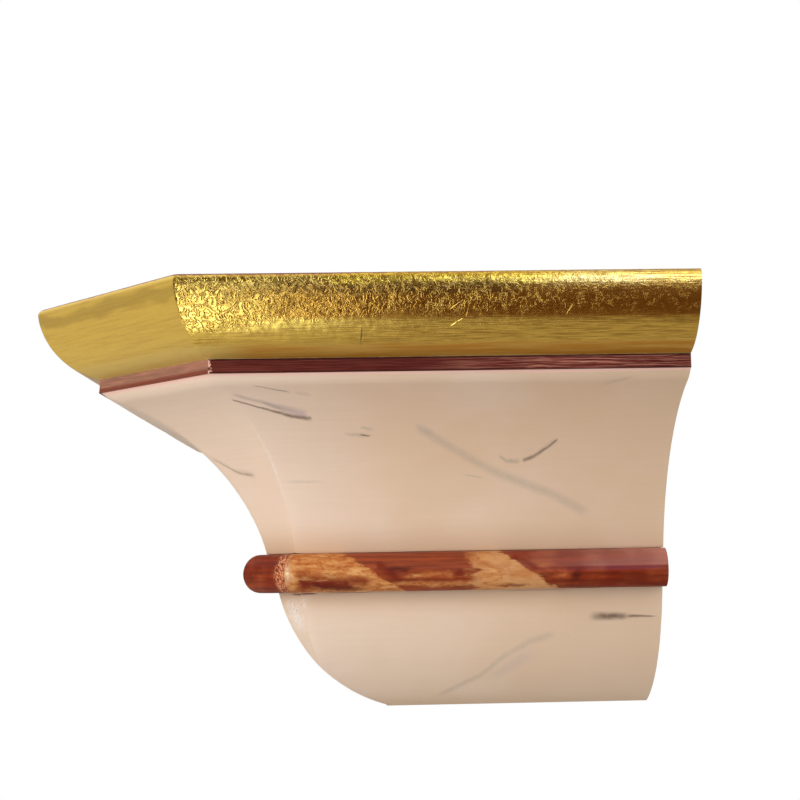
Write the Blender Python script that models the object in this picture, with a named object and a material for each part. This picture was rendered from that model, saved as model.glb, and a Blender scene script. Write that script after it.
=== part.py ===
"""Wall bracket: a gilded shelf board on a cream marbled block, with a mahogany bead round it.

Metres, +Z up. The wall is the plane y = 0 and the bracket stands out towards -Y, with its middle
at x = 0. The origin is on the back of the block, where the wall carries it.

One moulding runs along both sides, across the two cut front corners and along the front. It is
drawn as points (set_back, drop): set_back is how far a point lies inside the widest outline of
the shelf, and drop is how far it lies under the shelf's top.
"""
from math import atan2, cos, hypot, pi, radians, sin, sqrt

import bmesh
import bpy
from mathutils import Matrix, Vector

# Plan of the shelf at its widest
SHELF_WIDTH = 0.330
SHELF_DEPTH = 0.215
CORNER_CUT = 0.0546

# Heights of the courses, all counted down from the shelf's top
ORIGIN_DROP = 0.060
BOARD_DROP = 0.0235
FILLET_DROP = 0.0277
BEAD_TOP_DROP = 0.0839
BEAD_FOOT_DROP = 0.0976
TOTAL_DROP = 0.1408

# Moulding: radii and set-backs
ARRIS_RADIUS = 0.0022
BOARD_RADIUS = 0.0250
FILLET_SET_BACK = 0.0194
COVE_TOP_SET_BACK = 0.0201
COVE_LIP = 0.0022
LIP_RADIUS = 0.0140
COVE_RADIUS = 0.0770
COVE_FOOT_SET_BACK = 0.0745
BEAD_NOSE_SET_BACK = 0.0666
BEAD_NOSE_DEPTH = 0.0060
FOOT_TOP_SET_BACK = 0.0785
FOOT_RADIUS = 0.0616
FOOT_END_SET_BACK = 0.1170

# Glue joints, the facets that a curve is worked in, and the cove's facet where its lip runs out
GAP = 0.0003
ARRIS_STEPS = 4
BOARD_STEPS = 16
LIP_STEPS = 4
COVE_STEPS = 24
LIP_JOINS = 2
BEAD_STEPS = 16
FOOT_STEPS = 18

# Sawn blocks are left this much too large before the runs of moulding trim them
WASTE = 0.030
RUN_LENGTH = 2 * (SHELF_WIDTH + SHELF_DEPTH)
WELD = 0.00001
SHARP_ANGLE = radians(22)

# The five runs: name, direction that the face looks in (turn about +Z from +X), and how far
# the widest outline lies from the origin in that direction
SIDE_REACH = SHELF_WIDTH / 2
CORNER_REACH = (SHELF_WIDTH / 2 + SHELF_DEPTH - CORNER_CUT) / sqrt(2)
RUNS = (
    ("right_side", 0, SIDE_REACH),
    ("right_corner", radians(-45), CORNER_REACH),
    ("front", radians(-90), SHELF_DEPTH),
    ("left_corner", radians(-135), CORNER_REACH),
    ("left_side", radians(-180), SIDE_REACH),
)


def height(drop):
    return ORIGIN_DROP - drop


def heading(turn):
    return Vector((cos(turn), sin(turn), 0))


def arc(start, end, radius, steps, hollow=False):
    """Points from start to end on an arc; the centre is outside the wood where it is hollow."""
    across, down = end[0] - start[0], end[1] - start[1]
    chord = hypot(across, down)
    centre_off = sqrt(radius ** 2 - (chord / 2) ** 2) * (1 if hollow else -1)
    middle = ((start[0] + end[0]) / 2, (start[1] + end[1]) / 2)
    centre = (middle[0] - down / chord * centre_off, middle[1] + across / chord * centre_off)
    first = atan2(start[1] - centre[1], start[0] - centre[0])
    last = atan2(end[1] - centre[1], end[0] - centre[0])
    sweep = (last - first + pi) % (2 * pi) - pi
    angles = [first + sweep * step / steps for step in range(steps + 1)]
    return [(centre[0] + radius * cos(a), centre[1] + radius * sin(a)) for a in angles]


def board_profile():
    """A softened top arris, then one round down to the fillet."""
    arris = arc((ARRIS_RADIUS, 0), (0, ARRIS_RADIUS), ARRIS_RADIUS, ARRIS_STEPS)
    edge = arc(arris[-1], (FILLET_SET_BACK, BOARD_DROP), BOARD_RADIUS, BOARD_STEPS)
    return arris + edge[1:]


def fillet_profile():
    return [(FILLET_SET_BACK, BOARD_DROP + GAP), (FILLET_SET_BACK, FILLET_DROP)]


def body_profile():
    """Eased lip, cove, the rebate that the bead sits in, and the rounded foot."""
    cove = arc((COVE_TOP_SET_BACK, FILLET_DROP + COVE_LIP), (COVE_FOOT_SET_BACK, BEAD_TOP_DROP),
               COVE_RADIUS, COVE_STEPS, hollow=True)
    lip = arc((COVE_TOP_SET_BACK, FILLET_DROP + GAP), cove[LIP_JOINS], LIP_RADIUS, LIP_STEPS)
    foot = arc((FOOT_TOP_SET_BACK, BEAD_FOOT_DROP), (FOOT_END_SET_BACK, TOTAL_DROP),
               FOOT_RADIUS, FOOT_STEPS)
    rebate = [(FOOT_TOP_SET_BACK, BEAD_TOP_DROP)]
    return lip + cove[LIP_JOINS + 1:] + rebate + foot


def bead_section():
    """Closed section: flat back against the rebate, flat top and foot, rounded nose."""
    top, foot = BEAD_TOP_DROP + GAP, BEAD_FOOT_DROP
    back = FOOT_TOP_SET_BACK - GAP
    middle, half = (top + foot) / 2, (foot - top) / 2
    shoulder = BEAD_NOSE_SET_BACK + BEAD_NOSE_DEPTH
    angles = [pi * step / BEAD_STEPS for step in range(BEAD_STEPS + 1)]
    nose = [(shoulder - BEAD_NOSE_DEPTH * sin(a), middle - half * cos(a)) for a in angles]
    return [(back, top)] + nose + [(back, foot)]


def new_collection(name):
    collection = bpy.data.collections.new(name)
    bpy.context.scene.collection.children.link(collection)
    return collection


def paint(name, colour, roughness, metallic=0.0):
    material = bpy.data.materials.new(name)
    material.use_nodes = True
    shader = material.node_tree.nodes["Principled BSDF"]
    shader.inputs["Base Color"].default_value = (*colour, 1)
    shader.inputs["Roughness"].default_value = roughness
    shader.inputs["Metallic"].default_value = metallic
    return material


def evaluated_mesh(thing):
    """The mesh that an object shows, with its doubled points welded."""
    bpy.context.view_layer.update()
    depsgraph = bpy.context.evaluated_depsgraph_get()
    mesh = bpy.data.meshes.new_from_object(thing.evaluated_get(depsgraph))
    model = bmesh.new()
    model.from_mesh(mesh)
    bmesh.ops.remove_doubles(model, verts=model.verts, dist=WELD)
    bmesh.ops.dissolve_degenerate(model, edges=model.edges, dist=WELD)
    model.to_mesh(mesh)
    model.free()
    return mesh


def draw_out(name, outline, length, turn, collection):
    """A solid of one section: points (out, up), with out along the heading of turn."""
    curve = bpy.data.curves.new(name, "CURVE")
    curve.dimensions = "2D"
    curve.fill_mode = "BOTH"
    curve.extrude = length / 2
    spline = curve.splines.new("POLY")
    spline.points.add(len(outline) - 1)
    for point, (out, up) in zip(spline.points, outline):
        point.co = (out, up, 0, 1)
    spline.use_cyclic_u = True
    drawn = bpy.data.objects.new(name, curve)
    collection.objects.link(drawn)
    mesh = evaluated_mesh(drawn)
    bpy.data.objects.remove(drawn)
    bpy.data.curves.remove(curve)
    out_way, up_way = heading(turn), Vector((0, 0, 1))
    along_way = out_way.cross(up_way)
    mesh.transform(Matrix((out_way, up_way, along_way)).transposed().to_4x4())
    solid = bpy.data.objects.new(name, mesh)
    collection.objects.link(solid)
    return solid


def moulding_run(name, profile, turn, reach, collection):
    """Everything behind one face: the profile, carried on past its top and its foot."""
    face = [(reach - set_back, height(drop)) for set_back, drop in profile]
    above = height(profile[0][1]) + WASTE
    below = height(profile[-1][1]) - WASTE
    inside = -RUN_LENGTH / 2
    outline = [(inside, above), (face[0][0], above)] + face + [(face[-1][0], below), (inside, below)]
    run = draw_out(name, outline, RUN_LENGTH, turn, collection)
    run.hide_render = True
    run.display_type = "WIRE"
    return run


def shape_block(name, profile, material, pieces, cutters):
    """A sawn block against the wall, worked to the moulding on all five faces."""
    top, foot = height(profile[0][1]), height(profile[-1][1])
    sawn = Vector((SHELF_WIDTH + 2 * WASTE, SHELF_DEPTH + WASTE, top - foot))
    bpy.ops.mesh.primitive_cube_add(size=1, location=(0, -sawn.y / 2, (top + foot) / 2))
    block = bpy.context.object
    block.name = name
    block.data.transform(Matrix.Diagonal(sawn).to_4x4())
    for collection in block.users_collection:
        collection.objects.unlink(block)
    pieces.objects.link(block)
    for run_name, turn, reach in RUNS:
        run = moulding_run(name + "_" + run_name, profile, turn, reach, cutters)
        trim = block.modifiers.new(run_name, "BOOLEAN")
        trim.operation = "INTERSECT"
        trim.solver = "EXACT"
        trim.object = run
    finish(block, evaluated_mesh(block), material)
    return block


def finish(piece, mesh, material):
    """The worked mesh, its own finish, and round faces shaded round."""
    piece.modifiers.clear()
    piece.data = mesh
    mesh.materials.clear()
    mesh.materials.append(material)
    mesh.shade_smooth()
    mesh.set_sharp_from_angle(angle=SHARP_ANGLE)


def mitre(run, neighbour):
    """Plane of the mitre between two runs, as a point and the normal that leaves the first."""
    _, turn, reach = run
    _, next_turn, next_reach = neighbour
    apart = heading(next_turn) - heading(turn)
    normal = apart.normalized()
    point = normal * ((next_reach - reach) / apart.length - GAP / 2)
    return point, normal


def bead_strip(index, material, pieces):
    """One length of bead, cut square at the wall and mitred where it meets its neighbours."""
    name, turn, reach = RUNS[index]
    outline = [(reach - set_back, height(drop)) for set_back, drop in bead_section()]
    strip = draw_out("bead_" + name, outline, RUN_LENGTH, turn, pieces)
    wall = (Vector((0, 0, 0)), Vector((0, 1, 0)))
    cuts = [mitre(RUNS[index], RUNS[other]) for other in (index - 1, index + 1)
            if 0 <= other < len(RUNS)]
    if index in (0, len(RUNS) - 1):
        cuts.append(wall)
    mesh = strip.data
    model = bmesh.new()
    model.from_mesh(mesh)
    for point, normal in cuts:
        whole = model.verts[:] + model.edges[:] + model.faces[:]
        cut = bmesh.ops.bisect_plane(model, geom=whole, plane_co=point, plane_no=normal,
                                     clear_outer=True)
        rim = [part for part in cut["geom_cut"] if isinstance(part, bmesh.types.BMEdge)]
        bmesh.ops.contextual_create(model, geom=rim)
    bmesh.ops.recalc_face_normals(model, faces=model.faces)
    model.to_mesh(mesh)
    model.free()
    finish(strip, mesh, material)
    return strip


def build():
    for thing in list(bpy.data.objects):
        bpy.data.objects.remove(thing)
    pieces = new_collection("wall_bracket")
    cutters = new_collection("cutters")
    hung_at = bpy.data.objects.new("hung_at_wall", None)
    pieces.objects.link(hung_at)

    gilding = paint("gold_leaf", (0.66, 0.47, 0.10), 0.32, metallic=1.0)
    fillet_paint = paint("mahogany_fillet", (0.16, 0.028, 0.020), 0.45)
    marbling = paint("cream_marbling", (0.66, 0.49, 0.34), 0.40)
    bead_paint = paint("mahogany_bead", (0.27, 0.062, 0.028), 0.28)

    made = [
        shape_block("gilded_shelf_board", board_profile(), gilding, pieces, cutters),
        shape_block("mahogany_fillet", fillet_profile(), fillet_paint, pieces, cutters),
        shape_block("cream_body", body_profile(), marbling, pieces, cutters),
    ]
    made += [bead_strip(index, bead_paint, pieces) for index in range(len(RUNS))]
    for piece in made:
        piece.parent = hung_at


build()
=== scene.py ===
from math import atan2, ceil, cos, hypot, pi, radians, sin, sqrt

import bmesh
import bpy
from mathutils import Matrix, Vector


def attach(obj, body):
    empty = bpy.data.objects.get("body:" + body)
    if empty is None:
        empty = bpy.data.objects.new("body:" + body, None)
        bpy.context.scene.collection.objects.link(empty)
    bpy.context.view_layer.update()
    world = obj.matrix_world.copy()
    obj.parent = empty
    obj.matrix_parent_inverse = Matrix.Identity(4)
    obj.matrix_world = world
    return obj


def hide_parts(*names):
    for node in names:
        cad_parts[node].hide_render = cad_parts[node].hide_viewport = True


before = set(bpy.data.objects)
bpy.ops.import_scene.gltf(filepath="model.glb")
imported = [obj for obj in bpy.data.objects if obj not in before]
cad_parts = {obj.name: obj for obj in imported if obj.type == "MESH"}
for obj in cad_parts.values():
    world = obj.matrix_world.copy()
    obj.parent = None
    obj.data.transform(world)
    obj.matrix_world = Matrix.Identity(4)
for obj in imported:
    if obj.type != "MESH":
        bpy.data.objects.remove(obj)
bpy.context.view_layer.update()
scene = bpy.context.scene
print("frame loaded:", ", ".join(sorted(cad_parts)))

# Metres. The wall is the plane y = 0, the bracket stands out towards -Y and +Z is up.
# A moulding point is (setBack, drop): how far inside the shelf's outline, how far under its top.
# The five faces are runs 0 to 4, from the right side round the front to the left side.
shelf = {
    "width": 0.33,
    "depth": 0.215,
    "cornerCut": 0.0546,
    "topHeight": 0.06,
}
lastRun = 4
glueGap = 0.0003  # between two pieces of wood
sharpAngle = radians(38)  # edges that turn more than this are shaded sharp


# Nodes, for geometry and for shaders

class Field:
    # a node's output that can be added and multiplied like a number

    def __init__(self, socket):
        self.socket = socket

    def __add__(self, other):
        return calc("ADD", self, other)

    def __sub__(self, other):
        return calc("SUBTRACT", self, other)

    def __rsub__(self, other):
        return calc("SUBTRACT", other, self)

    def __mul__(self, other):
        return calc("MULTIPLY", self, other)

    def __truediv__(self, other):
        return calc("DIVIDE", self, other)

    def __rtruediv__(self, other):
        return calc("DIVIDE", other, self)

    def lay(self, mask, colour):
        # another colour over this one, where the mask says
        self.socket = mixColour(mask, self, colour).socket


def feed(socket, value):
    if isinstance(value, Field):
        value = value.socket
    if isinstance(value, bpy.types.NodeSocket):
        socket.id_data.links.new(value, socket)
    elif value is not None:
        socket.default_value = value


def treeOf(values):
    return next(value.socket.id_data for value in values if isinstance(value, Field))


def addNode(tree, kind, inputs=None, **settings):
    node = tree.nodes.new(kind)
    for name, value in settings.items():
        setattr(node, name, value)
    for key, value in (inputs or {}).items():
        feed(node.inputs[key], value)
    return node


def addField(tree, kind, inputs=None, output=0, **settings):
    return Field(addNode(tree, kind, inputs, **settings).outputs[output])


def calc(operation, *values, clamp=False):
    return addField(treeOf(values), "ShaderNodeMath", dict(enumerate(values)),
                    operation=operation, use_clamp=clamp)


def calcVector(operation, *values, scale=None):
    inputs = dict(enumerate(values))
    if scale is not None:
        inputs["Scale"] = scale
    output = "Value" if operation in ("DOT_PRODUCT", "DISTANCE") else "Vector"
    return addField(treeOf((*values, scale)), "ShaderNodeVectorMath", inputs, output,
                    operation=operation)


def vectorOf(x, y, z):
    return addField(treeOf((x, y, z)), "ShaderNodeCombineXYZ", {"X": x, "Y": y, "Z": z})


def partsOf(vector):
    node = addNode(treeOf([vector]), "ShaderNodeSeparateXYZ", {"Vector": vector})
    return [Field(output) for output in node.outputs]


def ramp(value, low, high, outLow=0.0, outHigh=1.0):
    return addField(treeOf([value]), "ShaderNodeMapRange",
                    dict(enumerate((value, low, high, outLow, outHigh))),
                    clamp=True, interpolation_type="SMOOTHSTEP")


def band(value, start, startFull, end, endFull):
    # 1 between the two full values, and 0 outside the start and the end
    return ramp(value, start, startFull) * ramp(value, end, endFull)


def largest(mask, *others):
    for other in others:
        mask = calc("MAXIMUM", mask, other)
    return mask


def mixColour(factor, first, second):
    values = [(*value, 1.0) if isinstance(value, tuple) else value
              for value in (factor, first, second)]
    return addField(treeOf(values), "ShaderNodeMix", dict(zip((0, 6, 7), values)), 2,
                    data_type="RGBA", clamp_factor=True)


def mixValue(factor, first, second):
    values = (factor, first, second)
    return addField(treeOf(values), "ShaderNodeMix", dict(zip((0, 2, 3), values)),
                    data_type="FLOAT", clamp_factor=True)


def noiseOf(vector, scale, detail=2.0, rough=0.5, distort=0.0, output=0):
    return addField(treeOf([vector]), "ShaderNodeTexNoise",
                    {"Vector": vector, "Scale": scale, "Detail": detail, "Roughness": rough,
                     "Distortion": distort}, output)


def bumpOf(height, distance, strength=1.0, normal=None):
    return addField(treeOf([height]), "ShaderNodeBump",
                    {"Height": height, "Distance": distance, "Strength": strength,
                     "Normal": normal})


def newGroup(name, kind, inputs, outputs):
    # an input's value says which kind of socket it is, or its text names the kind
    tree = bpy.data.node_groups.new(name, kind)
    kinds = {int: "Int", float: "Float", tuple: "Vector"}
    for label, value in inputs.items():
        socketKind = "NodeSocket" + kinds.get(type(value), str(value))
        socket = tree.interface.new_socket(name=label, in_out="INPUT", socket_type=socketKind)
        if type(value) in kinds:
            socket.default_value = value
    for label, value in outputs.items():
        tree.interface.new_socket(name=label, in_out="OUTPUT", socket_type="NodeSocket" + value)
    start = tree.nodes.new("NodeGroupInput")
    end = tree.nodes.new("NodeGroupOutput")
    given = {socket.name: Field(socket) for socket in start.outputs if socket.name}
    return tree, given, end.inputs


def spaced(name):
    # an input's label from its name in the script
    words = "".join(" " + letter if letter.isupper() else letter for letter in name)
    return words[0].upper() + words[1:]


# Profiles

def arc(start, end, radius, steps, hollow=False):
    across, down = end[0] - start[0], end[1] - start[1]
    chord = hypot(across, down)
    centreOff = sqrt(radius ** 2 - (chord / 2) ** 2) * (1 if hollow else -1)
    middle = ((start[0] + end[0]) / 2, (start[1] + end[1]) / 2)
    centre = (middle[0] - down / chord * centreOff, middle[1] + across / chord * centreOff)
    first = atan2(start[1] - centre[1], start[0] - centre[0])
    last = atan2(end[1] - centre[1], end[0] - centre[0])
    sweep = (last - first + pi) % (2 * pi) - pi
    angles = [first + sweep * step / steps for step in range(steps + 1)]
    return [(centre[0] + radius * cos(a), centre[1] + radius * sin(a)) for a in angles]


def divided(points, step):
    # the same line, with no stretch longer than step
    made = [points[0]]
    for start, end in zip(points, points[1:]):
        parts = max(1, ceil(hypot(end[0] - start[0], end[1] - start[1]) / step))
        made += [(start[0] + (end[0] - start[0]) * part / parts,
                  start[1] + (end[1] - start[1]) * part / parts) for part in range(1, parts + 1)]
    return made


# One tree makes every course: the moulding is carried along the five faces from wall to wall.
# The profile comes in as a line of points (setBack, distance down the profile, height).

def buildMouldedCourse():
    tree, given, result = newGroup("mouldedCourse", "GeometryNodeTree", {
        "Profile": "Geometry",
        "Half Width": shelf["width"] / 2,
        "Depth": shelf["depth"],
        "Corner Cut": shelf["cornerCut"],
        "First Run": 0,
        "Last Run": lastRun,
        "Start Trim": 0.0,
        "End Trim": 0.0,
        "Cell": 0.002,
        "Relief Depth": 0.0001,
        "Relief Size": 0.006,
        "Relief Twist": 0.0,
        "Wave Depth": 0.0001,
        "Wave Size": 0.04,
        "Eased Depth": 0.0,
        "Eased Width": 0.002,
        "Calm Rim": 0.001,
        "Seed": 0.0,
        "Material": "Material",
    }, {"Course": "Geometry"})

    def atRow(row):
        place = addField(tree, "GeometryNodeInputPosition")
        return partsOf(addField(tree, "GeometryNodeSampleIndex",
                                {"Geometry": given["Profile"], "Value": place, "Index": row},
                                data_type="FLOAT_VECTOR", domain="POINT"))

    rows = addField(tree, "GeometryNodeAttributeDomainSize", {"Geometry": given["Profile"]},
                    "Point Count", component="MESH")
    index = addField(tree, "GeometryNodeInputIndex")
    column = calc("FLOOR", (index + 0.5) / rows)
    setBack, girth, height = atRow(index - column * rows)
    wholeGirth = atRow(rows - 1.0)[1]
    calm = ramp(calc("MINIMUM", girth, wholeGirth - girth), 0.0, given["Calm Rim"])

    # a face moved inwards by setBack makes a cut corner shorter by this share of it
    narrowing = setBack * (2 - sqrt(2))
    cut = calc("MAXIMUM", given["Corner Cut"] - narrowing, 0.0)
    sideX = given["Half Width"] - setBack
    deep = given["Depth"] - setBack
    rightHalf = [(sideX, 0.0), (sideX, cut - deep), (sideX - cut, deep * -1.0)]
    corners = [vectorOf(x, y, height) for x, y in rightHalf]
    corners += [vectorOf(x * -1.0, y, height) for x, y in reversed(rightHalf)]
    sideLong = given["Depth"] - given["Corner Cut"]
    cornerLong = given["Corner Cut"] * sqrt(2)
    frontLong = (given["Half Width"] - given["Corner Cut"]) * 2.0
    runLengths = [sideLong, cornerLong, frontLong, cornerLong, sideLong]

    joined = tree.nodes.new("GeometryNodeJoinGeometry")
    for run in reversed(range(lastRun + 1)):
        turn = radians(-90 - 45 * run)
        along = (cos(turn), sin(turn), 0.0)
        columns = calc("CEIL", runLengths[run] / given["Cell"]) + 1.0
        grid = addField(tree, "GeometryNodeMeshGrid",
                        {"Size X": 1.0, "Size Y": 1.0, "Vertices X": columns, "Vertices Y": rows})
        share = column / (columns - 1.0)
        start, end = corners[run], corners[run + 1]
        long = calcVector("DISTANCE", start, end)
        distance = given["Start Trim"] + share * (long - (given["Start Trim"] + given["End Trim"]))
        whereAlong = calcVector("ADD", start, calcVector("SCALE", along, scale=distance))
        # how far a point is from the nearest mitre, which has no meaning at the wall
        toMitre = long - distance
        if run == lastRun:
            toMitre = distance
        elif run > 0:
            toMitre = calc("MINIMUM", distance, toMitre)
        eased = ramp(toMitre, 0.0, given["Eased Width"], 1.0, 0.0)
        onFace = vectorOf(calcVector("DOT_PRODUCT", whereAlong, along), girth, float(run))
        onFace = addField(tree, "GeometryNodeFieldOnDomain", {"Value": onFace},
                          data_type="FLOAT_VECTOR", domain="POINT")
        marked = grid
        for name, value, kind, domain in (("onFace", onFace, "FLOAT_VECTOR", "CORNER"),
                                          ("eased", eased, "FLOAT", "POINT"),
                                          ("calm", calm, "FLOAT", "POINT")):
            marked = addField(tree, "GeometryNodeStoreNamedAttribute",
                              {"Geometry": marked, "Name": name, "Value": value},
                              data_type=kind, domain=domain)
        placed = addField(tree, "GeometryNodeSetPosition",
                          {"Geometry": marked, "Position": whereAlong})
        tests = []
        for limit, operation in (("First Run", "GREATER_EQUAL"), ("Last Run", "LESS_EQUAL")):
            test = addNode(tree, "FunctionNodeCompare", data_type="INT", operation=operation)
            ints = [socket for socket in test.inputs if socket.type == "INT"]
            ints[0].default_value = run
            feed(ints[1], given[limit])
            tests.append(test.outputs[0])
        both = addField(tree, "FunctionNodeBooleanMath", dict(enumerate(tests)), operation="AND")
        chosen = addField(tree, "GeometryNodeSwitch", {"Switch": both, "True": placed},
                          input_type="GEOMETRY")
        feed(joined.inputs[0], chosen)

    welded = addField(tree, "GeometryNodeMergeByDistance",
                      {"Geometry": joined.outputs[0], "Distance": 0.00002})

    def stored(name):
        return addField(tree, "GeometryNodeInputNamedAttribute", {"Name": name}, data_type="FLOAT")

    # crinkles, long waves and worn mitres, all pushed inwards and least at the rims
    seeded = calcVector("ADD", addField(tree, "GeometryNodeInputPosition"),
                        vectorOf(given["Seed"], given["Seed"], given["Seed"]))
    crinkle = noiseOf(seeded, 1.0 / given["Relief Size"], 1.0, distort=given["Relief Twist"])
    wave = noiseOf(seeded, 1.0 / given["Wave Size"], 1.0)
    worked = (ramp(crinkle, 0.3, 0.7) * given["Relief Depth"]
              + ramp(wave, 0.25, 0.75) * given["Wave Depth"]
              + stored("eased") * given["Eased Depth"])
    inward = worked * stored("calm") * -1.0
    offset = calcVector("SCALE", addField(tree, "GeometryNodeInputNormal"), scale=inward)
    made = addField(tree, "GeometryNodeSetPosition", {"Geometry": welded, "Offset": offset})
    made = addField(tree, "GeometryNodeSetShadeSmooth", {"Geometry": made})
    made = addField(tree, "GeometryNodeRealizeInstances", {"Geometry": made})
    made = addField(tree, "GeometryNodeSetMaterial",
                    {"Geometry": made, "Material": given["Material"]})
    feed(result["Course"], made)
    return tree


mouldedCourse = buildMouldedCourse()
print("course tree built:", len(mouldedCourse.nodes), "nodes")


def socketOf(tree, label):
    return next(item.identifier for item in tree.interface.items_tree
                if item.name == label and item.in_out == "INPUT")


def carryAlong(name, profile, material, **sizes):
    # the profile's line, the tree on it, and the result as a plain mesh
    line = bpy.data.meshes.new(name)
    girth, places = 0.0, []
    for number, (setBack, drop) in enumerate(profile):
        if number:
            girth += hypot(setBack - profile[number - 1][0], drop - profile[number - 1][1])
        places.append((setBack, girth, shelf["topHeight"] - drop))
    line.from_pydata(places, [(n, n + 1) for n in range(len(places) - 1)], [])
    piece = bpy.data.objects.new(name, line)
    scene.collection.objects.link(piece)
    modifier = piece.modifiers.new("course", "NODES")
    modifier.node_group = mouldedCourse
    modifier[socketOf(mouldedCourse, "Material")] = material
    for label, value in sizes.items():
        modifier[socketOf(mouldedCourse, spaced(label))] = value
    bpy.context.view_layer.update()
    depsgraph = bpy.context.evaluated_depsgraph_get()
    mesh = bpy.data.meshes.new_from_object(piece.evaluated_get(depsgraph),
                                           preserve_all_data_layers=True, depsgraph=depsgraph)
    mesh.name = name
    # the evaluated mesh comes with an empty first slot
    mesh.materials.clear()
    mesh.materials.append(material)
    piece.modifiers.remove(modifier)
    piece.data = mesh
    for spare in ("eased", "calm"):
        if spare in mesh.attributes:
            mesh.attributes.remove(mesh.attributes[spare])
    bpy.data.meshes.remove(line)
    return piece


def finishPiece(piece, extraMaterials, closeWith, node, farMaterial=None):
    mesh = piece.data
    for material in extraMaterials:
        mesh.materials.append(material)
    model = bmesh.new()
    model.from_mesh(mesh)
    closeWith(model)
    bmesh.ops.recalc_face_normals(model, faces=model.faces)
    model.to_mesh(mesh)
    model.free()
    if farMaterial:
        # on the front and the left, which are runs 2 to 4
        mesh.materials.append(farMaterial)
        onFace = mesh.attributes["onFace"].data
        for face in mesh.polygons:
            if face.material_index == 0 and onFace[face.loop_start].vector.z > 1.5:
                face.material_index = len(mesh.materials) - 1
    mesh.shade_smooth()
    mesh.set_sharp_from_angle(angle=sharpAngle)
    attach(piece, "root")
    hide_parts(node)
    print("piece:", piece.name, len(mesh.polygons), "faces")


def closeBlock(model):
    # top, foot and back of a course that runs from wall to wall
    rim = [edge for edge in model.edges if edge.is_boundary]
    ends = {vert for edge in rim for vert in edge.verts}
    top, foot = max(v.co.z for v in ends), min(v.co.z for v in ends)
    near = 0.00001

    def wallEnds(level):
        found = [v for v in ends if v.co.y > -near and abs(v.co.z - level) < near]
        return sorted(found, key=lambda v: v.co.x)

    def flatFace(edges, slotIndex):
        made = bmesh.ops.contextual_create(model, geom=edges)["faces"]
        for face in made:
            face.material_index = slotIndex
            face.smooth = False

    topEdge = model.edges.new([wallEnds(top)[0], wallEnds(top)[-1]])
    footEdge = model.edges.new([wallEnds(foot)[0], wallEnds(foot)[-1]])
    flatFace([e for e in rim if all(v.co.z > top - near for v in e.verts)] + [topEdge], 1)
    flatFace([e for e in rim if all(v.co.z < foot + near for v in e.verts)] + [footEdge], 2)
    flatFace([e for e in rim if all(v.co.y > -near for v in e.verts)] + [topEdge, footEdge], 3)


def closeStrip(model):
    # square or mitred ends of a bead strip
    rim = [edge for edge in model.edges if edge.is_boundary]
    made = bmesh.ops.holes_fill(model, edges=rim, sides=0)["faces"]
    for face in made:
        face.material_index = 1


# Shader groups that more than one finish uses

def buildBrushStroke():
    # mask of one stroke from Start to End in the plane of Point, tapered towards its tail
    tree, given, result = newGroup("brushStroke", "ShaderNodeTree", {
        "Point": "Vector", "Start": "Vector", "End": "Vector",
        "Start Width": 0.001, "End Width": 0.001, "Strength": 1.0,
        "Soft Start": 0.3, "Soft End": 0.3, "Before": 0.0,
    }, {"Mask": "Float"})
    line = calcVector("SUBTRACT", given["End"], given["Start"])
    offset = calcVector("SUBTRACT", given["Point"], given["Start"])
    squared = calcVector("DOT_PRODUCT", line, line)
    share = calcVector("DOT_PRODUCT", offset, line) / squared
    held = calc("MULTIPLY", share, 1.0, clamp=True)
    away = calcVector("DISTANCE", offset, calcVector("SCALE", line, scale=held))
    width = mixValue(held, given["Start Width"], given["End Width"])
    side = ramp(away / width, 0.0, 1.0, 1.0, 0.0)
    # a soft end starts past the line's own end where it is 0, and so doesn't fade
    past = -0.001
    fade = ramp(held, past, given["Soft Start"]) * ramp(1.0 - held, past, given["Soft End"])
    feed(result["Mask"], largest(side * fade * given["Strength"], given["Before"]))
    return tree


def buildDragLines():
    # fine lines along the moulding, as a brush or a plane leaves them, other ones on each run
    tree, given, result = newGroup("dragLines", "ShaderNodeTree", {
        "On Face": "Vector", "Line Width": 0.0005, "Line Length": 0.02, "Sharpness": 0.5,
        "Seed": 0.0,
    }, {"Lines": "Float"})
    along, girth, run = partsOf(given["On Face"])
    drawn = vectorOf(along / given["Line Length"], girth / given["Line Width"],
                     run * 7.3 + given["Seed"])
    low = given["Sharpness"] * 0.48
    feed(result["Lines"], ramp(noiseOf(drawn, 1.0, 3.0, 0.6), low, 1.0 - low))
    return tree


def buildSpecks():
    # scattered small specks: Size is their spacing, Share how much of each cell they fill
    tree, given, result = newGroup("specks", "ShaderNodeTree", {
        "Vector": "Vector", "Size": 0.006, "Share": 0.1, "Kept": 0.3, "Stretch": (1.0, 1.0, 1.0),
    }, {"Mask": "Float"})
    stretched = calcVector("MULTIPLY", given["Vector"], given["Stretch"])
    cells = addNode(tree, "ShaderNodeTexVoronoi",
                    {"Vector": stretched, "Scale": 1.0 / given["Size"]}).outputs
    spot = ramp(Field(cells["Distance"]), 0.0, given["Share"], 1.0, 0.0)
    chance = addField(tree, "ShaderNodeSeparateColor", {"Color": cells["Color"]})
    feed(result["Mask"], spot * calc("LESS_THAN", chance, given["Kept"]))
    return tree


brushStroke = buildBrushStroke()
dragLines = buildDragLines()
specks = buildSpecks()


def useGroup(group, **inputs):
    named = {spaced(name): value for name, value in inputs.items()}
    return addField(treeOf(inputs.values()), "ShaderNodeGroup", named, node_tree=group)


def dragged(onFace, lineWidth, lineLength, sharpness, seed):
    return useGroup(dragLines, onFace=onFace, lineWidth=lineWidth, lineLength=lineLength,
                    sharpness=sharpness, seed=seed)


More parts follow.
